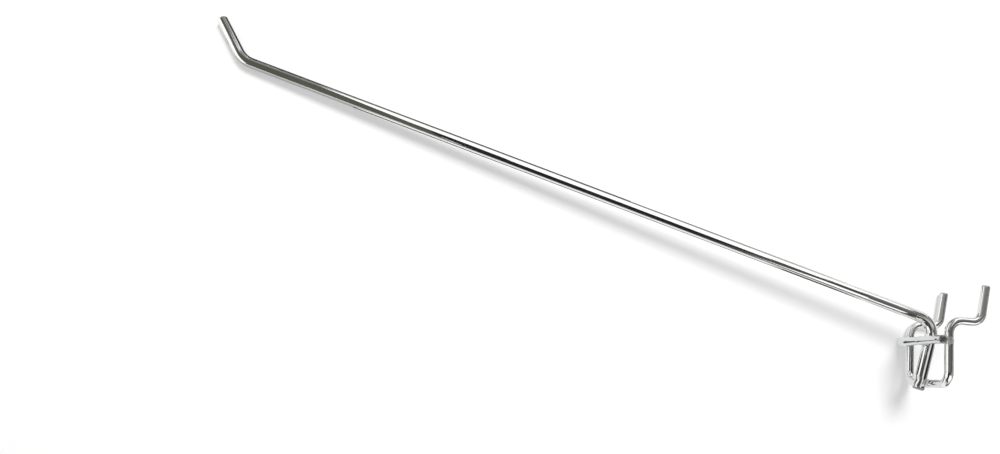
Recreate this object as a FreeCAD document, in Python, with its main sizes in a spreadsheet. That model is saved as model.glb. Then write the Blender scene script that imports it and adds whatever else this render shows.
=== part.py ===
import FreeCAD
import Part
import Sketcher
import math
import os

from FreeCAD import Vector

# A pegboard hook welded from three round wires.
# The board's face is the plane Y = 0 and the hook's tip points to -Y. Z is up and X runs along the board.
# The origin lies midway between the two runs that pass through the board.

# Driving sizes, in millimetres and degrees.
SIZES = {
    "arm_wire": 3.75,      # diameter of the arm's wire
    "frame_wire": 2.7,     # diameter of the frame's wire
    "bar_wire": 2.7,       # diameter of the cross bar's wire
    "leg_set": 0.15,       # how far the cross bar and a leg sink into each other at their weld
    "tail_set": 0.45,      # how far the tail and a bar sink into each other at their weld
    "end_chamfer": 0.3,    # broken edge on every cut end
    "peg_pitch": 25.4,     # spacing of the two legs, and so of the holes
    "frame_drop": 20.3,    # runs' axis down to the bottom bar's axis
    "frame_corner": 4.2,   # bend radius between a leg and the bottom bar
    "run_bend": 4.2,       # bend radius between a leg and its run
    "peg_reach": 9.9,      # leg's axis back to the corner of the prong
    "prong_bend": 3.4,     # bend radius between a run and its prong
    "prong_lean": 8.5,     # angle of the prongs behind upright
    "prong_height": 11.9,  # runs' axis up to the prongs' ends
    "bar_drop": 6.5,       # runs' axis down to the cross bar's axis
    "bar_overhang": 1.5,   # cross bar's end beyond a leg's axis
    "bend_lift": 2.85,     # cross bar's axis up to the centre of the rear bend
    "rear_bend": 5.4,      # bend radius at the back of the arm
    "tail_drop": 2.2,      # bottom bar's axis down to the tail's end
    "arm_rise": 15.8,      # angle of the arm above level
    "arm_length": 254.0,   # rear corner to tip corner
    "tip_bend": 9.2,       # bend radius below the upturned tip
    "tip_turn": 40.3,      # angle that the tip turns up from the arm
    "tip_length": 17.7,    # tip corner to the tip's end
}

# Sizes that follow from how the wires touch at the welds.
# The tail passes behind the cross bar and in front of the bottom bar, which sets its slant.
WORKED_OUT = {
    "arm_seat": "(arm_wire + bar_wire) / 2 - tail_set",
    "leg_seat": "(frame_wire + bar_wire) / 2 - leg_set",
    "foot_seat": "(arm_wire + frame_wire) / 2 - tail_set",
    "weld_span": "frame_drop - bar_drop",
    "weld_lean": "atan2(weld_span; leg_seat) / 1 deg",
    "tail_slant": "weld_lean - acos((arm_seat + foot_seat) / hypot(weld_span; leg_seat)) / 1 deg",
    "bend_setback": "rear_bend + arm_wire / 2",
    "bar_setback": "bend_setback - (rear_bend - arm_seat - bend_lift * sin(tail_slant)) / cos(tail_slant)",
    "leg_setback": "bar_setback - leg_seat",
}


def make_sheet(doc):
    """Write the driving sizes, and the formulas that follow from them, into one sheet."""
    sheet = doc.addObject("Spreadsheet::Sheet", "Sizes")
    cells = [(alias, str(value)) for alias, value in SIZES.items()]
    cells += [(alias, "=" + formula) for alias, formula in WORKED_OUT.items()]
    for row, (alias, content) in enumerate(cells, start=1):
        sheet.set(f"A{row}", alias)
        sheet.set(f"B{row}", content)
        sheet.setAlias(f"B{row}", alias)
    doc.recompute()


def read(item, formula):
    """Value of a formula in the sheet's names, in millimetres or degrees."""
    value = item.evalExpression(formula)
    return float(getattr(value, "Value", value))


def origin_plane(body, role):
    """One of the body's own origin planes."""
    return next(item for item in body.Origin.OriginFeatures if item.Role == role)


def new_sketch(body, name, plane, offset=None):
    """Sketch on one of the body's origin planes, moved along the plane's normal by a formula."""
    sketch = body.newObject("Sketcher::SketchObject", name)
    sketch.AttachmentSupport = [(origin_plane(body, plane), "")]
    sketch.MapMode = "FlatFace"
    if offset:
        sketch.setExpression("AttachmentOffset.Base.z", offset)
    return sketch


def dimension(sketch, kind, points, formula):
    """Constrain the sketch with a size that is bound to the sheet."""
    value = read(sketch, formula)
    if kind == "Angle":
        value = math.radians(value)
    index = sketch.addConstraint(Sketcher.Constraint(kind, *points, value))
    sketch.setExpression(f"Constraints[{index}]", formula)


def draw_bent_path(sketch, corners, bends):
    """Draw straight runs through the corners with a tangent arc at each bend.

    Each bend is a formula for its radius. The runs, the arcs and the sharp corners' points come back.
    """
    radii = [read(sketch, bend) for bend in bends]
    headings = [(after - before).normalize() for before, after in zip(corners, corners[1:])]
    trims = [0.0]
    for radius, before, after in zip(radii, headings, headings[1:]):
        trims.append(radius * math.tan(before.getAngle(after) / 2))
    trims.append(0.0)

    runs = []
    for index, heading in enumerate(headings):
        start = corners[index] + heading * trims[index]
        end = corners[index + 1] - heading * trims[index + 1]
        runs.append(sketch.addGeometry(Part.LineSegment(start, end)))

    arcs, sharp = [], []
    for index, bend in enumerate(bends):
        before, after, corner = headings[index], headings[index + 1], corners[index + 1]
        trim, radius = trims[index + 1], radii[index]
        inward = (after - before).normalize()
        middle = corner + inward * (math.hypot(trim, radius) - radius)
        arc = sketch.addGeometry(Part.Arc(corner - before * trim, middle, corner + after * trim))
        turns_left = before.cross(after).z > 0
        first, last = (1, 2) if turns_left else (2, 1)
        sketch.addConstraint(Sketcher.Constraint("Tangent", runs[index], 2, arc, first))
        sketch.addConstraint(Sketcher.Constraint("Tangent", arc, last, runs[index + 1], 1))
        dimension(sketch, "Radius", (arc,), bend)
        arcs.append(arc)
        point = sketch.addGeometry(Part.Point(corner), True)
        sketch.addConstraint(Sketcher.Constraint("PointOnObject", point, 1, runs[index]))
        sketch.addConstraint(Sketcher.Constraint("PointOnObject", point, 1, runs[index + 1]))
        sharp.append(point)
    return runs, arcs, sharp


def place(sketch, geometry, end, across, up):
    """Hold a point of the sketch at formulas for its distance across and up from the origin."""
    dimension(sketch, "DistanceX", (-1, 1, geometry, end), across)
    dimension(sketch, "DistanceY", (-1, 1, geometry, end), up)


def draw_circle(sketch, across, up, diameter):
    """Draw a circle whose centre and diameter are formulas."""
    centre = Vector(read(sketch, across), read(sketch, up), 0)
    circle = sketch.addGeometry(Part.Circle(centre, Vector(0, 0, 1), read(sketch, diameter) / 2))
    place(sketch, circle, 3, across, up)
    dimension(sketch, "Diameter", (circle,), diameter)


def sweep(body, name, profile, path):
    """Sweep a wire's round section along its path."""
    pipe = body.newObject("PartDesign::AdditivePipe", name)
    pipe.Profile = profile
    pipe.Spine = path
    body.Document.recompute()
    return pipe


def break_cut_ends(body, name):
    """Chamfer the rim of every flat end that the wire was cut to."""
    base = body.Tip
    flats = [face for face in base.Shape.Faces if face.Surface.TypeId == "Part::GeomPlane"]
    rims = [edge for face in flats for edge in face.Edges]
    names = []
    for number, edge in enumerate(base.Shape.Edges, start=1):
        if any(edge.isSame(rim) for rim in rims):
            names.append(f"Edge{number}")
    chamfer = body.newObject("PartDesign::Chamfer", name)
    chamfer.Base = (base, names)
    chamfer.setExpression("Size", "Sizes.end_chamfer")
    body.Document.recompute()


def make_frame(doc):
    """One wire: bottom bar, two legs, two runs through the board and two upturned prongs."""
    body = doc.addObject("PartDesign::Body", "prong_frame")
    half_pitch = "Sizes.peg_pitch / 2"
    mid_leg = "-Sizes.frame_drop / 2"
    bottom = "-Sizes.frame_drop"

    section = new_sketch(body, "leg_section", "XY_Plane", mid_leg)
    draw_circle(section, half_pitch, "-Sizes.leg_setback", "Sizes.frame_wire")

    lower = new_sketch(body, "lower_path", "XZ_Plane", "Sizes.leg_setback")
    side, middle, low = (read(lower, formula) for formula in (half_pitch, mid_leg, bottom))
    corners = [Vector(side, middle), Vector(side, low), Vector(-side, low), Vector(-side, middle)]
    runs, _, sharp = draw_bent_path(lower, corners, ["Sizes.frame_corner"] * 2)
    place(lower, runs[0], 1, half_pitch, mid_leg)
    place(lower, sharp[0], 1, half_pitch, bottom)
    place(lower, sharp[1], 1, f"-{half_pitch}", bottom)
    place(lower, runs[2], 2, f"-{half_pitch}", mid_leg)
    doc.recompute()
    sweep(body, "legs_and_bottom_bar", section, lower)

    upper = new_sketch(body, "upper_path", "YZ_Plane", half_pitch)
    leg = -read(upper, "Sizes.leg_setback")
    reach = leg + read(upper, "Sizes.peg_reach")
    height = read(upper, "Sizes.prong_height")
    lean = height * math.tan(math.radians(read(upper, "Sizes.prong_lean")))
    corners = [Vector(leg, middle), Vector(leg, 0), Vector(reach, 0), Vector(reach + lean, height)]
    runs, _, sharp = draw_bent_path(upper, corners, ["Sizes.run_bend", "Sizes.prong_bend"])
    place(upper, runs[0], 1, "-Sizes.leg_setback", mid_leg)
    upper.addConstraint(Sketcher.Constraint("Vertical", runs[0]))
    upper.addConstraint(Sketcher.Constraint("PointOnObject", sharp[0], 1, -1))
    upper.addConstraint(Sketcher.Constraint("PointOnObject", sharp[1], 1, -1))
    dimension(upper, "DistanceX", (sharp[0], 1, sharp[1], 1), "Sizes.peg_reach")
    dimension(upper, "Angle", (runs[2],), "90 - Sizes.prong_lean")
    dimension(upper, "DistanceY", (-1, 1, runs[2], 2), "Sizes.prong_height")
    doc.recompute()
    prong = sweep(body, "run_and_prong", section, upper)

    mirror = body.newObject("PartDesign::Mirrored", "other_run_and_prong")
    mirror.Originals = [prong]
    mirror.MirrorPlane = (origin_plane(body, "YZ_Plane"), [""])
    body.Tip = mirror
    doc.recompute()
    break_cut_ends(body, "prong_ends")
    return body


def make_arm(doc):
    """The long wire, from its slanting tail round the rear bend and along the arm to the upturned tip."""
    body = doc.addObject("PartDesign::Body", "arm_blank")
    path = new_sketch(body, "arm_path", "YZ_Plane")
    slant, rise, turn = (
        math.radians(read(path, f"Sizes.{name}")) for name in ("tail_slant", "arm_rise", "tip_turn")
    )
    bend = Vector(-read(path, "Sizes.bend_setback"), read(path, "Sizes.bend_lift - Sizes.bar_drop"))
    down_tail = Vector(-math.sin(slant), -math.cos(slant))
    up_arm = Vector(-math.cos(rise), math.sin(rise))
    up_tip = Vector(-math.cos(rise + turn), math.sin(rise + turn))
    to_corner = (down_tail + up_arm).normalize() * -1
    half_turn = down_tail.getAngle(up_arm) / 2
    rear = bend + to_corner * (read(path, "Sizes.rear_bend") / math.sin(half_turn))
    tail_depth = rear.y + read(path, "Sizes.frame_drop + Sizes.tail_drop")
    tail = rear + down_tail * (tail_depth / math.cos(slant))
    tip = rear + up_arm * read(path, "Sizes.arm_length")
    end = tip + up_tip * read(path, "Sizes.tip_length")

    runs, arcs, sharp = draw_bent_path(path, [tail, rear, tip, end], ["Sizes.rear_bend", "Sizes.tip_bend"])
    place(path, arcs[0], 3, "-Sizes.bend_setback", "Sizes.bend_lift - Sizes.bar_drop")
    dimension(path, "Angle", (runs[0],), "90 - Sizes.tail_slant")
    dimension(path, "DistanceY", (-1, 1, runs[0], 1), "-Sizes.frame_drop - Sizes.tail_drop")
    dimension(path, "Angle", (runs[1],), "180 - Sizes.arm_rise")
    dimension(path, "Distance", (sharp[0], 1, sharp[1], 1), "Sizes.arm_length")
    dimension(path, "Angle", (runs[2],), "180 - Sizes.arm_rise - Sizes.tip_turn")
    dimension(path, "Distance", (sharp[1], 1, runs[2], 2), "Sizes.tip_length")
    doc.recompute()

    section = body.newObject("Sketcher::SketchObject", "arm_section")
    section.AttachmentSupport = [(path, "Edge1")]
    section.MapMode = "NormalToEdge"
    circle = section.addGeometry(Part.Circle(Vector(), Vector(0, 0, 1), read(section, "Sizes.arm_wire") / 2))
    section.addConstraint(Sketcher.Constraint("Coincident", circle, 3, -1, 1))
    dimension(section, "Diameter", (circle,), "Sizes.arm_wire")
    doc.recompute()
    sweep(body, "bent_arm", section, path)
    break_cut_ends(body, "arm_ends")
    return body


def make_bar(doc):
    """The short straight wire across the legs."""
    body = doc.addObject("PartDesign::Body", "bar_blank")
    section = new_sketch(body, "bar_section", "YZ_Plane")
    draw_circle(section, "-Sizes.bar_setback", "-Sizes.bar_drop", "Sizes.bar_wire")
    pad = body.newObject("PartDesign::Pad", "straight_bar")
    pad.Profile = section
    pad.Midplane = True
    pad.setExpression("Length", "Sizes.peg_pitch + 2 * Sizes.bar_overhang")
    doc.recompute()
    break_cut_ends(body, "bar_ends")
    return body


def weld_seat(doc, name, blank, neighbour):
    """Cut the hollow that a welded neighbour sinks into."""
    seated = doc.addObject("Part::Cut", name)
    seated.Base = blank
    seated.Tool = neighbour
    doc.recompute()
    return seated


def check(doc, pieces):
    """Stop before anything is written if an object failed or a piece is not one sound solid."""
    for item in doc.Objects:
        if "Invalid" in item.State or "Error" in item.State:
            raise RuntimeError(f"{item.Label} failed: {item.State}")
        if item.TypeId == "Sketcher::SketchObject" and not item.FullyConstrained:
            raise RuntimeError(f"{item.Label} is not fully constrained")
    for piece in pieces:
        shape = piece.Shape
        if shape.isNull() or not shape.isValid() or len(shape.Solids) != 1:
            raise RuntimeError(f"{piece.Label} is not one sound solid")


def main():
    doc = FreeCAD.newDocument("pegboard_hook")
    make_sheet(doc)
    frame = make_frame(doc)
    arm = weld_seat(doc, "hook_arm", make_arm(doc), frame)
    notched_bar = weld_seat(doc, "bar_on_legs", make_bar(doc), frame)
    bar = weld_seat(doc, "cross_bar", notched_bar, arm)
    pieces = (frame, arm, bar)
    check(doc, pieces)
    os.makedirs("parts", exist_ok=True)
    for piece in pieces:
        piece.Shape.exportStep(f"parts/{piece.Label}.step")
        print(piece.Label, round(piece.Shape.Volume, 2), piece.Shape.BoundBox)


main()
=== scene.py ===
import math

import bpy
from mathutils import Matrix, Vector


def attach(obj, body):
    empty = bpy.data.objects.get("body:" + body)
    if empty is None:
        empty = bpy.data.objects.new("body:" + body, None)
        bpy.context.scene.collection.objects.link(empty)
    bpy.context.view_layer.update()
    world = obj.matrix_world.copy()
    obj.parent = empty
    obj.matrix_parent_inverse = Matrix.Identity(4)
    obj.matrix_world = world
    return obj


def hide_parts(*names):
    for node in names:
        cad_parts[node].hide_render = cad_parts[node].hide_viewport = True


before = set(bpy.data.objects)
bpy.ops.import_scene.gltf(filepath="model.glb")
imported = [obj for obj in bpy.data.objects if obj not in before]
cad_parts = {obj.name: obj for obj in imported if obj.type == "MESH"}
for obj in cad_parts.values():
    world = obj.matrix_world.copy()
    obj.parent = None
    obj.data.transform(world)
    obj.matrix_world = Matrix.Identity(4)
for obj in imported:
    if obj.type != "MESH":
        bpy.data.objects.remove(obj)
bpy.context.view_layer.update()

MM = 0.001

# Sizes of the hook, as in the part's source, in millimetres and degrees.
ARM_WIRE = 3.75
FRAME_WIRE = 2.7
BAR_WIRE = 2.7
LEG_SET = 0.15
TAIL_SET = 0.45
PEG_PITCH = 25.4
FRAME_DROP = 20.3
FRAME_CORNER = 4.2
RUN_BEND = 4.2
PEG_REACH = 9.9
PRONG_BEND = 3.4
PRONG_LEAN = math.radians(8.5)
PRONG_HEIGHT = 11.9
BAR_DROP = 6.5
BAR_OVERHANG = 1.5
BEND_LIFT = 2.85
REAR_BEND = 5.4
TAIL_DROP = 2.2
ARM_RISE = math.radians(15.8)
ARM_LENGTH = 254.0
TIP_BEND = 9.2
TIP_TURN = math.radians(40.3)
TIP_LENGTH = 17.7

# Places that follow from how the wires touch at the welds.
ARM_SEAT = (ARM_WIRE + BAR_WIRE) / 2 - TAIL_SET
LEG_SEAT = (FRAME_WIRE + BAR_WIRE) / 2 - LEG_SET
FOOT_SEAT = (ARM_WIRE + FRAME_WIRE) / 2 - TAIL_SET
WELD_SPAN = FRAME_DROP - BAR_DROP
TAIL_SLANT = math.atan2(WELD_SPAN, LEG_SEAT) - math.acos(
    (ARM_SEAT + FOOT_SEAT) / math.hypot(WELD_SPAN, LEG_SEAT)
)
BEND_SETBACK = REAR_BEND + ARM_WIRE / 2
BAR_SETBACK = BEND_SETBACK - (
    REAR_BEND - ARM_SEAT - BEND_LIFT * math.sin(TAIL_SLANT)
) / math.cos(TAIL_SLANT)
LEG_SETBACK = BAR_SETBACK - LEG_SEAT

# Fineness of the wires' meshes, and the broken edge at a cut end.
ROUND = 48
BEND_STEP = math.radians(5)
MERGE = 0.002
SMOOTH_ANGLE = math.radians(50)
EDGE_BREAK = 0.36
EDGE_STEPS = 4
EDGE_ROUND = 0.3

# Rings that keep the shading of a bend or a weld from running on along the straight wire.
BEND_RING = 0.5
REST_RINGS = 2
RING_GAP = 0.1

# How the wires gave way at the welds: how far along the wire and in what steps, in millimetres,
# and the shares by which a wire is thinner towards the other wire and wider across.
PRESS_REACH = 1.5
PRESS_STEP = 0.3
PRESS_SINK = 0.1
PRESS_SPREAD = 0.085

# A weld lies on a run whose heading matches the weld's own this closely.
PARALLEL = 0.99

# The bar is laid this much short at each end, so that rounding keeps it within the part's size.
BAR_TRIM = 0.002


def wire_route(corners, radii):
    """Runs and bends that a wire follows through sharp corners, in metres.

    Each is (start, heading, length, None) or (start, heading, length, (centre, axis, angle)).
    """
    headings = [(after - before).normalized() for before, after in zip(corners, corners[1:])]
    turns = [before.angle(after) for before, after in zip(headings, headings[1:])]
    trims = [0.0] + [radius * math.tan(turn / 2) for radius, turn in zip(radii, turns)] + [0.0]
    route = []
    for index, heading in enumerate(headings):
        start = corners[index] + heading * trims[index]
        end = corners[index + 1] - heading * trims[index + 1]
        route.append((start, heading, (end - start).length, None))
        if index < len(radii):
            axis = heading.cross(headings[index + 1]).normalized()
            centre = end + axis.cross(heading) * radii[index]
            route.append((end, heading, radii[index] * turns[index], (centre, axis, turns[index])))
    return route


def clear_selection():
    bpy.ops.object.select_all(action="DESELECT")


def lay_wire(name, diameter, corners, radii, welds):
    """Round wire: a disc drawn out along each run and spun round each bend.

    Its cut ends are broken, and it is pressed at its welds: (middle, along the wire, to the other wire).
    """
    route = wire_route(corners, radii)
    start, heading = route[0][0], route[0][1]
    clear_selection()
    bpy.ops.mesh.primitive_circle_add(
        vertices=ROUND,
        radius=diameter / 2,
        fill_type="NGON",
        location=start,
        rotation=heading.to_track_quat("Z", "Y").to_euler(),
    )
    wire = bpy.context.object
    wire.name = wire.data.name = name
    bpy.ops.object.transform_apply(location=True, rotation=True, scale=True)
    bpy.ops.object.mode_set(mode="EDIT")
    bpy.ops.mesh.select_all(action="SELECT")
    for start, heading, length, bend in route:
        if bend is None:
            for step in run_steps(start, heading, length, welds):
                bpy.ops.mesh.extrude_region_move(TRANSFORM_OT_translate={"value": heading * step})
        else:
            centre, axis, angle = bend
            steps = max(2, round(angle / BEND_STEP))
            bpy.ops.mesh.spin(steps=steps, angle=-angle, center=centre, axis=axis)
    bpy.ops.mesh.select_all(action="SELECT")
    bpy.ops.mesh.remove_doubles(threshold=MERGE * MM)
    bpy.ops.mesh.normals_make_consistent(inside=False)
    break_cut_ends()
    bpy.ops.object.mode_set(mode="OBJECT")
    for face in wire.data.polygons:
        face.material_index = int(face.select)
    bpy.ops.object.shade_smooth_by_angle(angle=SMOOTH_ANGLE)
    follow_wire(wire, route)
    for centre, along, facing in welds:
        press_weld(wire, centre * MM, along, facing)
    return wire


def run_steps(start, heading, length, welds):
    """Lengths to draw a run out by, in turn: short ones at its ends and beside each weld on it."""
    first, last = BEND_RING * MM, length - BEND_RING * MM
    gap = RING_GAP * MM
    stations = {0.0, length}
    if first < last:
        stations |= {first, last}
    for centre, along, _ in welds:
        if abs(along.dot(heading)) > PARALLEL:
            middle = (centre * MM - start).dot(heading)
            apart = (centre * MM - start - heading * middle).length
            count = round(PRESS_REACH / PRESS_STEP) + REST_RINGS
            for step in range(-count, count + 1):
                place = middle + step * PRESS_STEP * MM
                if apart < ARM_WIRE * MM and first + gap < place < last - gap:
                    stations.add(place)
    ordered = sorted(stations)
    return [after - before for before, after in zip(ordered, ordered[1:])]


def press_weld(wire, centre, along, facing):
    """Squash a wire at a weld, ring by ring: thinner towards the other wire and wider across."""
    across = along.cross(facing)
    turned = Matrix((across, facing, along))
    rings = {}
    for vertex in wire.data.vertices:
        from_centre = vertex.co - centre
        place = from_centre.dot(along)
        if abs(place) < PRESS_REACH * MM and (from_centre - along * place).length < ARM_WIRE * MM:
            rings.setdefault(round(place / MM, 1), []).append(vertex.index)
    for place, ring in rings.items():
        give = math.cos(math.pi / 2 * place / PRESS_REACH) ** 2
        clear_selection()
        wire.select_set(True)
        bpy.context.view_layer.objects.active = wire
        for kind in (wire.data.vertices, wire.data.edges, wire.data.polygons):
            kind.foreach_set("select", [False] * len(kind))
        for index in ring:
            wire.data.vertices[index].select = True
        bpy.ops.object.mode_set(mode="EDIT")
        bpy.ops.mesh.select_mode(type="VERT")
        bpy.ops.transform.resize(
            value=(1 + PRESS_SPREAD * give, 1 - PRESS_SINK * give, 1),
            orient_type="GLOBAL",
            orient_matrix=turned,
            orient_matrix_type="GLOBAL",
            center_override=centre + along * place * MM,
        )
        bpy.ops.object.mode_set(mode="OBJECT")


def break_cut_ends():
    """In edit mode: break the rim of both cut ends, and leave the ends and their rims selected."""
    bpy.ops.mesh.select_mode(type="FACE")
    bpy.ops.mesh.select_all(action="DESELECT")
    bpy.ops.mesh.select_face_by_sides(number=4, type="GREATER")
    bpy.ops.mesh.bevel(
        offset=EDGE_BREAK * MM, segments=EDGE_STEPS, profile=EDGE_ROUND, affect="EDGES"
    )
    bpy.ops.mesh.select_face_by_sides(number=4, type="GREATER", extend=True)


def follow_wire(wire, route):
    """Keep on each point where it lay on the wire before bending: two ways across it, and along it."""
    heading = route[0][1]
    side = heading.orthogonal().normalized()
    spans, travelled = [], 0.0
    for start, heading, length, bend in route:
        spans.append((start, heading, side, travelled, length, bend))
        travelled += length
        if bend is not None:
            side = Matrix.Rotation(bend[2], 3, bend[1]) @ side
    kept = wire.data.attributes.new("unbent", "FLOAT_VECTOR", "POINT")
    for vertex in wire.data.vertices:
        kept.data[vertex.index].vector = min(
            (unbent_place(vertex.co, span) for span in spans), key=lambda place: place[0]
        )[1]


def unbent_place(point, span):
    """How far a point lies from one run or bend, and its place on the straight wire."""
    start, heading, side, travelled, length, bend = span
    if bend is not None:
        centre, axis, angle = bend
        arm = point - centre
        arm -= axis * arm.dot(axis)
        outward = (start - centre).normalized()
        turned = math.atan2(outward.cross(arm).dot(axis), outward.dot(arm))
        turned = min(max(turned, 0.0), angle)
        turn = Matrix.Rotation(turned, 3, axis)
        start = centre + turn @ (start - centre)
        heading, side = turn @ heading, turn @ side
        travelled += length * turned / angle
        length = 0.0
    along = (point - start).dot(heading)
    inside = min(max(along, 0.0), length)
    offset = point - start - heading * inside
    other = heading.cross(side)
    return offset.length, (offset.dot(side), offset.dot(other), travelled + along)


def points(*rows):
    return [Vector(row) * MM for row in rows]


# Places of the bends and ends, in millimetres.
half_pitch = PEG_PITCH / 2
leg_y = -LEG_SETBACK
prong_y = leg_y + PEG_REACH
prong_end_y = prong_y + PRONG_HEIGHT * math.tan(PRONG_LEAN)
bar_end = half_pitch + BAR_OVERHANG
bend_centre = Vector((0, -BEND_SETBACK, BEND_LIFT - BAR_DROP))
down_tail = Vector((0, -math.sin(TAIL_SLANT), -math.cos(TAIL_SLANT)))
up_arm = Vector((0, -math.cos(ARM_RISE), math.sin(ARM_RISE)))
up_tip = Vector((0, -math.cos(ARM_RISE + TIP_TURN), math.sin(ARM_RISE + TIP_TURN)))
rear_corner = bend_centre - (down_tail + up_arm).normalized() * (
    REAR_BEND / math.sin(down_tail.angle(up_arm) / 2)
)
tail_end = rear_corner + down_tail * ((rear_corner.z + FRAME_DROP + TAIL_DROP) / math.cos(TAIL_SLANT))
tip_corner = rear_corner + up_arm * ARM_LENGTH
tip_end = tip_corner + up_tip * TIP_LENGTH

# Places of the welds, and the ways along the wires and from one wire to the other.
to_leg = Vector((0, 1, 0))
to_tail = Vector((0, math.cos(TAIL_SLANT), -math.sin(TAIL_SLANT)))
along_bar = Vector((1, 0, 0))
down_leg = Vector((0, 0, -1))
bar_centre = Vector((0, -BAR_SETBACK, -BAR_DROP))
foot_centre = Vector((0, leg_y, -FRAME_DROP))
left_leg = Vector((-half_pitch, leg_y, -BAR_DROP))
right_leg = Vector((half_pitch, leg_y, -BAR_DROP))
onto_leg = to_leg * (FRAME_WIRE - LEG_SET) / 2
onto_tail = to_tail * (BAR_WIRE - TAIL_SET) / 2
onto_foot = to_tail * (FRAME_WIRE - TAIL_SET) / 2

# Half sizes of the squeezed-out metal, in millimetres: two ways across its facing, and along it.
LEG_BEAD = (1.26, 1.6, 0.75)
TAIL_BEAD = (2.1, 1.45, 0.6)
FOOT_BEAD = (2.5, 1.35, 0.65)
LEG_COLLAR = (1.42, 1.42, 3.4)

# Unevenness and size of the metal's lumps, as shares of its half sizes, and its mesh's fineness.
BEAD_UNEVEN = 0.35
COLLAR_UNEVEN = 0.08
BEAD_LUMPS = 0.55
BEAD_ROUND = 36

# Beads between the wires and collars round the legs: middle, facing, half sizes and unevenness.
WELDS = {
    "weld_left_leg": (left_leg - onto_leg, to_leg, LEG_BEAD, BEAD_UNEVEN),
    "weld_right_leg": (right_leg - onto_leg, to_leg, LEG_BEAD, BEAD_UNEVEN),
    "weld_tail": (bar_centre + onto_tail, to_tail, TAIL_BEAD, BEAD_UNEVEN),
    "weld_foot": (foot_centre - onto_foot, to_tail, FOOT_BEAD, BEAD_UNEVEN),
    "collar_left_leg": (left_leg, down_leg, LEG_COLLAR, COLLAR_UNEVEN),
    "collar_right_leg": (right_leg, down_leg, LEG_COLLAR, COLLAR_UNEVEN),
}

frame_wire = lay_wire(
    "frame_wire",
    FRAME_WIRE * MM,
    points(
        (half_pitch, prong_end_y, PRONG_HEIGHT),
        (half_pitch, prong_y, 0),
        (half_pitch, leg_y, 0),
        (half_pitch, leg_y, -FRAME_DROP),
        (-half_pitch, leg_y, -FRAME_DROP),
        (-half_pitch, leg_y, 0),
        (-half_pitch, prong_y, 0),
        (-half_pitch, prong_end_y, PRONG_HEIGHT),
    ),
    [r * MM for r in (PRONG_BEND, RUN_BEND, FRAME_CORNER, FRAME_CORNER, RUN_BEND, PRONG_BEND)],
    [(foot_centre, along_bar, to_tail)],
)
arm_wire = lay_wire(
    "arm_wire",
    ARM_WIRE * MM,
    points(tail_end, rear_corner, tip_corner, tip_end),
    [REAR_BEND * MM, TIP_BEND * MM],
    [
        (bar_centre + to_tail * ARM_SEAT, down_tail, to_tail),
        (foot_centre - to_tail * FOOT_SEAT, down_tail, to_tail),
    ],
)
bar_wire = lay_wire(
    "bar_wire",
    BAR_WIRE * MM,
    points(
        (-bar_end + BAR_TRIM, -BAR_SETBACK, -BAR_DROP),
        (bar_end - BAR_TRIM, -BAR_SETBACK, -BAR_DROP),
    ),
    [],
    [
        (bar_centre - along_bar * half_pitch, along_bar, to_leg),
        (bar_centre, along_bar, to_tail),
        (bar_centre + along_bar * half_pitch, along_bar, to_leg),
    ],
)


def squeeze_bead(name, centre, facing, reach, unevenness):
    """Metal pressed out at a weld: a ball made uneven, then drawn to its half sizes and placed."""
    clear_selection()
    bpy.ops.mesh.primitive_uv_sphere_add(
        segments=BEAD_ROUND, ring_count=BEAD_ROUND // 2, radius=1.0
    )
    bead = bpy.context.object
    bead.name = bead.data.name = name
    uneven = bpy.data.textures.new(name, "CLOUDS")
    uneven.noise_scale = BEAD_LUMPS
    swell = bead.modifiers.new("uneven", "DISPLACE")
    swell.texture = uneven
    swell.texture_coords = "LOCAL"
    swell.strength = unevenness
    bpy.ops.object.modifier_apply(modifier=swell.name)
    bead.matrix_world = (
        Matrix.Translation(centre * MM)
        @ facing.to_track_quat("Z", "Y").to_matrix().to_4x4()
        @ Matrix.Diagonal((*(Vector(reach) * MM), 1))
    )
    bpy.ops.object.transform_apply(location=True, rotation=True, scale=True)
    bpy.ops.object.shade_smooth()
    return bead


beads = [squeeze_bead(name, *weld) for name, weld in WELDS.items()]


def node(tree, kind, **sockets):
    """Add a node and set its inputs, each to a value or to an output of another node.

    An input goes by its name, with _ for a space, or by its number after a _.
    """
    made = tree.nodes.new(kind)
    for name, value in sockets.items():
        key = int(name[1:]) if name[0] == "_" else name.replace("_", " ")
        socket = made.inputs[key]
        if isinstance(value, bpy.types.NodeSocket):
            tree.links.new(value, socket)
        else:
            socket.default_value = value
    return made


def new_material(name):
    material = bpy.data.materials.new(name)
    material.use_nodes = True
    material.node_tree.nodes.clear()
    return material, material.node_tree


def span(tree, value, low, high, to_low, to_high):
    """Value from one range brought to another."""
    made = node(
        tree,
        "ShaderNodeMapRange",
        Value=value,
        From_Min=low,
        From_Max=high,
        To_Min=to_low,
        To_Max=to_high,
    )
    return made.outputs["Result"]


def math_node(tree, operation, first, second=0.0):
    made = node(tree, "ShaderNodeMath", _0=first, _1=second)
    made.operation = operation
    return made.outputs[0]


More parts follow.
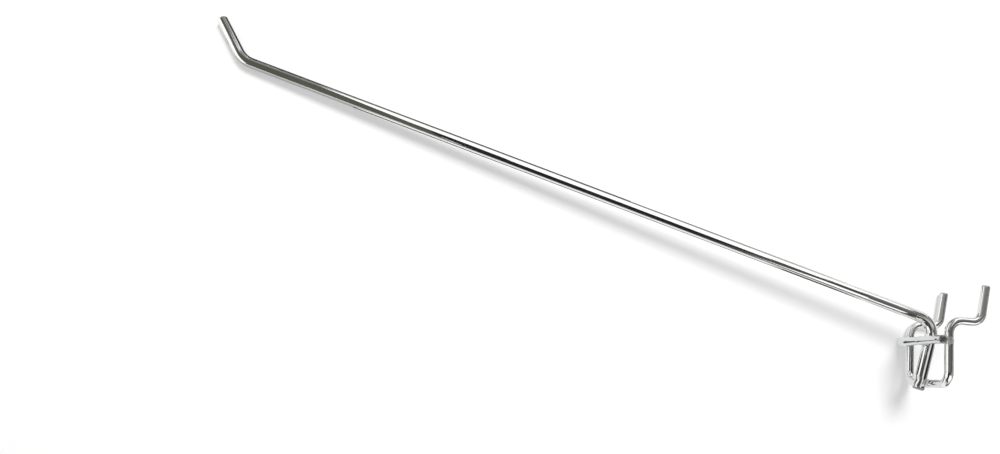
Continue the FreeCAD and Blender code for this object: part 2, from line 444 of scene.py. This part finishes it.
def bright_plating():
    """Bright plating on drawn wire: fine lines along it, faint clouding, duller by the welds."""
    material, tree = new_material("bright_plating")
    unbent = node(tree, "ShaderNodeAttribute")
    unbent.attribute_name = "unbent"
    place = unbent.outputs["Vector"]
    stretched = node(tree, "ShaderNodeMapping", Vector=place, Scale=(1.0, 1.0, 0.006)).outputs["Vector"]
    lines = node(
        tree, "ShaderNodeTexNoise", Vector=stretched, Scale=9000.0, Detail=3.0, Roughness=0.6
    ).outputs["Fac"]
    eased = node(tree, "ShaderNodeMapping", Vector=place, Scale=(1.0, 1.0, 0.12)).outputs["Vector"]
    clouds = node(tree, "ShaderNodeTexNoise", Vector=eased, Scale=420.0, Detail=4.0).outputs["Fac"]
    ripple = node(tree, "ShaderNodeTexNoise", Vector=eased, Scale=150.0, Detail=1.0).outputs["Fac"]

    where = node(tree, "ShaderNodeTexCoord").outputs["Object"]
    nearest = None
    for centre, _, _, _ in WELDS.values():
        away = node(tree, "ShaderNodeVectorMath", _0=where, _1=centre * MM)
        away.operation = "DISTANCE"
        away = away.outputs["Value"]
        nearest = away if nearest is None else math_node(tree, "MINIMUM", nearest, away)
    dull = span(tree, nearest, 1.2 * MM, 3.6 * MM, 1.0, 0.0)

    tone = node(tree, "ShaderNodeMix", Factor=span(tree, clouds, 0.3, 0.7, 0.0, 1.0))
    tone.data_type = "RGBA"
    tone.inputs["A"].default_value = (0.78, 0.78, 0.76, 1)
    tone.inputs["B"].default_value = (0.85, 0.85, 0.845, 1)
    heated = node(tree, "ShaderNodeMix", Factor=math_node(tree, "MULTIPLY", dull, 0.5))
    heated.data_type = "RGBA"
    tree.links.new(tone.outputs["Result"], heated.inputs["A"])
    heated.inputs["B"].default_value = (0.68, 0.675, 0.65, 1)

    clouded = span(tree, clouds, 0.3, 0.75, 0.035, 0.085)
    lined = span(tree, lines, 0.4, 0.8, 0.0, 0.05)
    rough = math_node(tree, "ADD", clouded, lined)
    rough = math_node(tree, "ADD", rough, math_node(tree, "MULTIPLY", dull, 0.07))
    drawn = node(tree, "ShaderNodeBump", Strength=0.12, Distance=0.01 * MM, Height=lines)
    waved = node(tree, "ShaderNodeBump", Strength=0.25, Distance=0.05 * MM, Height=ripple)
    tree.links.new(drawn.outputs["Normal"], waved.inputs["Normal"])
    shader = node(
        tree,
        "ShaderNodeBsdfPrincipled",
        Base_Color=heated.outputs["Result"],
        Metallic=1.0,
        Roughness=rough,
        Normal=waved.outputs["Normal"],
    )
    node(tree, "ShaderNodeOutputMaterial", Surface=shader.outputs["BSDF"])
    return material


def sheared_end():
    """Plating over a sheared wire end: dull, with the marks of the cut across it."""
    material, tree = new_material("sheared_end")
    where = node(tree, "ShaderNodeTexCoord").outputs["Object"]
    grain = node(
        tree, "ShaderNodeTexNoise", Vector=where, Scale=3500.0, Detail=5.0, Roughness=0.7
    ).outputs["Fac"]
    patches = node(tree, "ShaderNodeTexNoise", Vector=where, Scale=900.0, Detail=2.0).outputs["Fac"]
    tone = node(tree, "ShaderNodeMix", Factor=span(tree, patches, 0.35, 0.65, 0.0, 1.0))
    tone.data_type = "RGBA"
    tone.inputs["A"].default_value = (0.26, 0.26, 0.255, 1)
    tone.inputs["B"].default_value = (0.38, 0.38, 0.37, 1)
    bump = node(tree, "ShaderNodeBump", Strength=0.35, Distance=0.04 * MM, Height=grain)
    shader = node(
        tree,
        "ShaderNodeBsdfPrincipled",
        Base_Color=tone.outputs["Result"],
        Metallic=1.0,
        Roughness=span(tree, grain, 0.3, 0.7, 0.22, 0.38),
        Normal=bump.outputs["Normal"],
    )
    node(tree, "ShaderNodeOutputMaterial", Surface=shader.outputs["BSDF"])
    return material


def weld_bead():
    """Plated weld metal: uneven and a little dull."""
    material, tree = new_material("weld_bead")
    where = node(tree, "ShaderNodeTexCoord").outputs["Object"]
    lumps = node(tree, "ShaderNodeTexNoise", Vector=where, Scale=950.0, Detail=2.0).outputs["Fac"]
    tone = node(tree, "ShaderNodeMix", Factor=span(tree, lumps, 0.35, 0.65, 0.0, 1.0))
    tone.data_type = "RGBA"
    tone.inputs["A"].default_value = (0.72, 0.715, 0.70, 1)
    tone.inputs["B"].default_value = (0.92, 0.92, 0.91, 1)
    bump = node(tree, "ShaderNodeBump", Strength=0.7, Distance=0.18 * MM, Height=lumps)
    shader = node(
        tree,
        "ShaderNodeBsdfPrincipled",
        Base_Color=tone.outputs["Result"],
        Metallic=1.0,
        Roughness=span(tree, lumps, 0.3, 0.7, 0.35, 0.6),
        Normal=bump.outputs["Normal"],
    )
    node(tree, "ShaderNodeOutputMaterial", Surface=shader.outputs["BSDF"])
    return material


plating, cut, weld = bright_plating(), sheared_end(), weld_bead()
for wire in (frame_wire, arm_wire, bar_wire):
    wire.data.materials.append(plating)
    wire.data.materials.append(cut)
for bead in beads:
    bead.data.materials.append(weld)

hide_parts("prong_frame")
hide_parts("hook_arm")
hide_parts("cross_bar")
for piece in (frame_wire, arm_wire, bar_wire, *beads):
    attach(piece, "root")

# The studio is laid out from the middle of the arm, in millimetres.
# Right runs along the arm to its frame, up runs across it, and out leads away from the table.
studio_centre = (rear_corner + tip_corner) / 2 * MM
studio_right = -up_arm
studio_up = Vector((0, math.sin(ARM_RISE), math.cos(ARM_RISE)))
studio_out = Vector((1, 0, 0))


def in_studio(right, up, out):
    return studio_centre + (studio_right * right + studio_up * up + studio_out * out) * MM


# The table holds up the bar's far end and the tip.
table_rest = Vector((-bar_end, -BAR_SETBACK, -BAR_DROP))
to_tip = Vector((0, tip_end.y - table_rest.y, tip_end.z - table_rest.z))
table_slope = (bar_end - ARM_WIRE / 2) / to_tip.length
table_facing = (studio_out - to_tip.normalized() * table_slope).normalized()

# The table's size and matt white, the share of it that glows, and its gap from the bar's end.
TABLE_SIZE = 1600
TABLE_WHITE = (0.9, 0.9, 0.9)
TABLE_GLOW = 0.3
TABLE_GAP = 0.05


def table():
    """White table that the hook lies on: it shows only from the front."""
    across = studio_up.cross(table_facing).normalized()
    lie = Matrix((across, table_facing.cross(across), table_facing)).transposed()
    middle = in_studio(0, 0, 0)
    middle -= table_facing * ((middle - table_rest * MM).dot(table_facing) + TABLE_GAP * MM)
    clear_selection()
    bpy.ops.mesh.primitive_plane_add(size=TABLE_SIZE * MM)
    plane = bpy.context.object
    plane.name = "table"
    plane.matrix_world = Matrix.Translation(middle) @ lie.to_4x4()
    material, tree = new_material("white_table")
    light_path = node(tree, "ShaderNodeLightPath").outputs
    seen = math_node(tree, "MAXIMUM", light_path["Is Camera Ray"], light_path["Is Glossy Ray"])
    seen = math_node(tree, "MAXIMUM", seen, light_path["Is Transmission Ray"])
    matt = node(tree, "ShaderNodeBsdfDiffuse", Color=(*TABLE_WHITE, 1)).outputs[0]
    glow = node(tree, "ShaderNodeEmission", Color=(1, 1, 1, 1)).outputs[0]
    share = math_node(tree, "MULTIPLY", seen, TABLE_GLOW)
    surface = node(tree, "ShaderNodeMixShader", Fac=share, _1=matt, _2=glow).outputs[0]
    # Painted reflections: strips of the table that only the metal sees, with painted shade and painted
    # shadows among them.
    for strip in TABLE_PAINTED_REFLECTIONS:
        surface = lay_painted_reflection(tree, surface, light_path["Is Glossy Ray"], *strip)
    one_sided(tree, surface)
    plane.data.materials.append(material)


def lay_painted_reflection(tree, surface, mirrored, right, up, colour, turn=0.0):
    """Strip of painted reflection on the table: a glowing colour that only the metal mirrors.

    It lies between two places to the right and two places up, turned about its middle.
    """
    placed = node(
        tree,
        "ShaderNodeMapping",
        Vector=node(tree, "ShaderNodeTexCoord").outputs["Object"],
        Location=Vector((sum(right) / 2, sum(up) / 2, 0)) * MM,
        Rotation=(0, 0, math.radians(turn)),
        Scale=((right[1] - right[0]) * MM, (up[1] - up[0]) * MM, 1),
    )
    placed.vector_type = "TEXTURE"
    # The strip is one unit wide and high from here on.
    sides = node(tree, "ShaderNodeSeparateXYZ", Vector=placed.outputs["Vector"]).outputs
    furthest = math_node(
        tree, "MAXIMUM", math_node(tree, "ABSOLUTE", sides["X"]), math_node(tree, "ABSOLUTE", sides["Y"])
    )
    inside = math_node(tree, "LESS_THAN", furthest, 0.5)
    shown = math_node(tree, "MULTIPLY", inside, mirrored)
    # Painted reflection: the strip glows in its colour for glossy rays only.
    glow = node(tree, "ShaderNodeEmission", Color=(*colour, 1)).outputs[0]
    return node(tree, "ShaderNodeMixShader", Fac=shown, _1=surface, _2=glow).outputs[0]


def one_sided(tree, shader):
    """Show a shader on the front of a surface only."""
    clear = node(tree, "ShaderNodeBsdfTransparent").outputs[0]
    behind = node(tree, "ShaderNodeNewGeometry").outputs["Backfacing"]
    sided = node(tree, "ShaderNodeMixShader", Fac=behind, _1=shader, _2=clear)
    node(tree, "ShaderNodeOutputMaterial", Surface=sided.outputs[0])


def paint_reflection_card(name, middle, facing, width, height, turn, colour):
    """Flat glowing card that only the metal sees: a painted reflection, bright or dark.

    It has a middle, a way that it faces, a size, a turn about its middle and a colour.
    """
    clear_selection()
    bpy.ops.mesh.primitive_plane_add(size=1.0)
    card = bpy.context.object
    card.name = name
    faces_along_up = abs(facing.dot(studio_up)) > 0.9
    across = (studio_right if faces_along_up else studio_up.cross(facing)).normalized()
    lie = Matrix((across, facing.cross(across), facing)).transposed()
    card.matrix_world = (
        Matrix.Translation(middle)
        @ lie.to_4x4()
        @ Matrix.Rotation(math.radians(turn), 4, "Z")
        @ Matrix.Diagonal((width * MM, height * MM, 1, 1))
    )
    material, tree = new_material(name)
    # Painted reflection: the card glows in its colour, bright or dark.
    one_sided(tree, node(tree, "ShaderNodeEmission", Color=(*colour, 1)).outputs[0])
    card.data.materials.append(material)
    card.visible_camera = card.visible_diffuse = card.visible_shadow = False


def overhead(name, right, up, out, colour, turn=0.0):
    """Painted reflection card that faces the table, between two places to the right and two places up.
    """
    middle = in_studio(sum(right) / 2, sum(up) / 2, out)
    paint_reflection_card(name, middle, -studio_out, right[1] - right[0], up[1] - up[0], turn, colour)


def upright(name, facing, middle, width, height, colour):
    """Painted reflection card that stands on the table and faces along it."""
    paint_reflection_card(name, in_studio(*middle), facing, width, height, 0.0, colour)


# Glowing tones of the painted reflections, on the cards and the table's strips.
BLACK = (0.02, 0.02, 0.022)
DARK = (0.07, 0.07, 0.068)
OLIVE = (0.105, 0.108, 0.086)
GREY = (0.095, 0.095, 0.09)
LEAD = (0.15, 0.15, 0.145)
SLATE = (0.21, 0.21, 0.205)
MIDDLE = (0.3, 0.3, 0.3)
LIGHT = (0.45, 0.45, 0.45)
PALE = (0.85, 0.86, 0.88)
# Brighter than white: a painted highlight.
WHITE = (1.35, 1.35, 1.35)

# Painted reflections that only the metal sees in the table: places to the right, places up, colour and
# turn.
# A later strip lies over an earlier one.
TABLE_PAINTED_REFLECTIONS = [
    # Above the arm, from the tip to the frame: painted dark reflections.
    ((-138, 20), (3, 500), DARK),
    ((20, 60), (18, 500), DARK),
    ((60, 105), (18, 500), MIDDLE),
    ((-172, -138), (13, 300), DARK),
    # Below the arm: painted shade, a painted dark reflection and a painted shadow.
    # Painted shade of the table below the tip.
    ((-140, -85), (-60, -0.5), LIGHT),
    # Painted dark reflection for the legs.
    ((80, 108), (-48, -8), DARK),
    # Painted shadow of the arm on the table, mirrored as a thin dark line along the arm.
    ((-85, 100), (-11.5, -3.5), BLACK, -2.1),
    # Under the frame: painted shade and a painted shadow.
    # Painted shade of the table round the frame.
    ((108, 165), (-50, 40), PALE),
    # Painted contact shadow of the bar, a thin grey line along it.
    ((111.1, 123.9), (-15.9, -11.9), GREY, 42),
    # Beyond the frame: painted grey reflections.
    ((165, 280), (-20, 20), GREY),
    ((170, 420), (-330, -42), GREY),
]

table()

# Glowing cards that only the metal sees: painted bright and dark reflections on the arm.
# Painted highlight: a glowing ceiling card brighter than white.
overhead("ceiling", (-1000, 1000), (-1400, 1000), 280, WHITE)
overhead("front_card", (-46, 130), (-420, -9), 230, BLACK)
overhead("front_left_card", (-110, -46), (-420, 27), 230, BLACK)
overhead("front_right_card", (125, 230), (-71, 48), 229, DARK)
overhead("front_grey_card", (118, 166), (-420, -71), 229, GREY)
overhead("left_low_card", (-195, -66), (-106, 0), 60, OLIVE)
overhead("left_high_card", (-430, -230), (-77, 623), 232, OLIVE, -23.2)
overhead("right_low_card", (165, 415), (-110, 115), 231.5, GREY)
overhead("right_high_card", (276, 526), (53, 503), 232.5, GREY, 17)

# Painted reflection cards close over the prongs, the legs, the tail and the tip.
overhead("prong_roof", (126, 170), (10, 46), 60, SLATE)
overhead("leg_low_card", (114.7, 133.7), (-21.4, -8.4), 28, LEAD, -15)
overhead("leg_high_card", (112.1, 131.1), (-6.4, 0.6), 28, LEAD, -15)
overhead("tail_card", (120.6, 125.7), (-22, -3), 8, DARK)
overhead("tail_pale_card", (127.1, 130.4), (-22, -3), 8, PALE)
overhead("tail_dark_card", (132, 142), (-22, -3), 8, BLACK)
overhead("tip_roof", (-170, -128), (50, 180), 60, MIDDLE)
overhead("tip_low_roof", (-142, -122), (36, 95), 25, MIDDLE)

# Painted reflection cards that stand round the table.
upright("front_wall", studio_up, (87, -420, 161), 490, 138, BLACK)
upright("left_front_wall", studio_up, (-130, -106, 45), 130, 30, OLIVE)
upright("left_back_wall", -studio_up, (-400, 600, 95), 200, 210, OLIVE)
# Painted highlight: a glowing wall card brighter than white.
upright("left_wall", studio_right, (-700, 0, 140), 280, 1400, WHITE)
upright("right_wall", -studio_right, (560, 250, 130), 220, 700, GREY)
upright("prong_card", studio_right, (95, 42, 179), 242, 76, SLATE)
upright("prong_pale_card", studio_right, (95, 42, 42), 32, 76, LIGHT)

# Plain grey light from all round.
WORLD_GREY = (0.55, 0.55, 0.55)
world = bpy.data.worlds.new("studio")
bpy.context.scene.world = world
world.use_nodes = True
world.node_tree.nodes["Background"].inputs["Color"].default_value = (*WORLD_GREY, 1)

# One lamp above the arm that casts the soft shadow: its place and size in millimetres, and its watts.
KEY_PLACE = (120, 600, 1150)
KEY_SIZE = 500
KEY_POWER = 13.5
clear_selection()
bpy.ops.object.light_add(type="AREA", location=in_studio(*KEY_PLACE))
key = bpy.context.object
key.name = "key_light"
key.data.shape = "SQUARE"
key.data.size = KEY_SIZE * MM
key.data.energy = KEY_POWER
key.rotation_mode = "QUATERNION"
key.rotation_quaternion = (key.location - in_studio(0, 0, 0)).to_track_quat("Z", "Y")
key.visible_glossy = False

# The camera: its place in the part's frame, the way it looks, the way its top points, and its lens.
CAMERA_PLACE = Vector((274.9, -141.48, -29.4))
CAMERA_TOWARD = Vector((-0.9851, -0.0246, 0.1704)).normalized()
CAMERA_TOP = Vector((0.172, -0.0953, 0.9805))
CAMERA_LENS = 29.37
FILM_WIDTH = 36
NEAR_LIMIT = 10
camera_data = bpy.data.cameras.new("camera")
camera = bpy.data.objects.new("camera", camera_data)
bpy.context.scene.collection.objects.link(camera)
bpy.context.scene.camera = camera
camera_data.sensor_width = FILM_WIDTH
camera_data.lens = CAMERA_LENS
camera_data.clip_start = NEAR_LIMIT * MM
camera_right = CAMERA_TOWARD.cross(CAMERA_TOP).normalized()
camera_up = camera_right.cross(CAMERA_TOWARD)
camera_turn = Matrix((camera_right, camera_up, -CAMERA_TOWARD)).transposed()
camera.matrix_world = Matrix.Translation(CAMERA_PLACE * MM) @ camera_turn.to_4x4()

bpy.context.scene.view_settings.view_transform = "Standard"
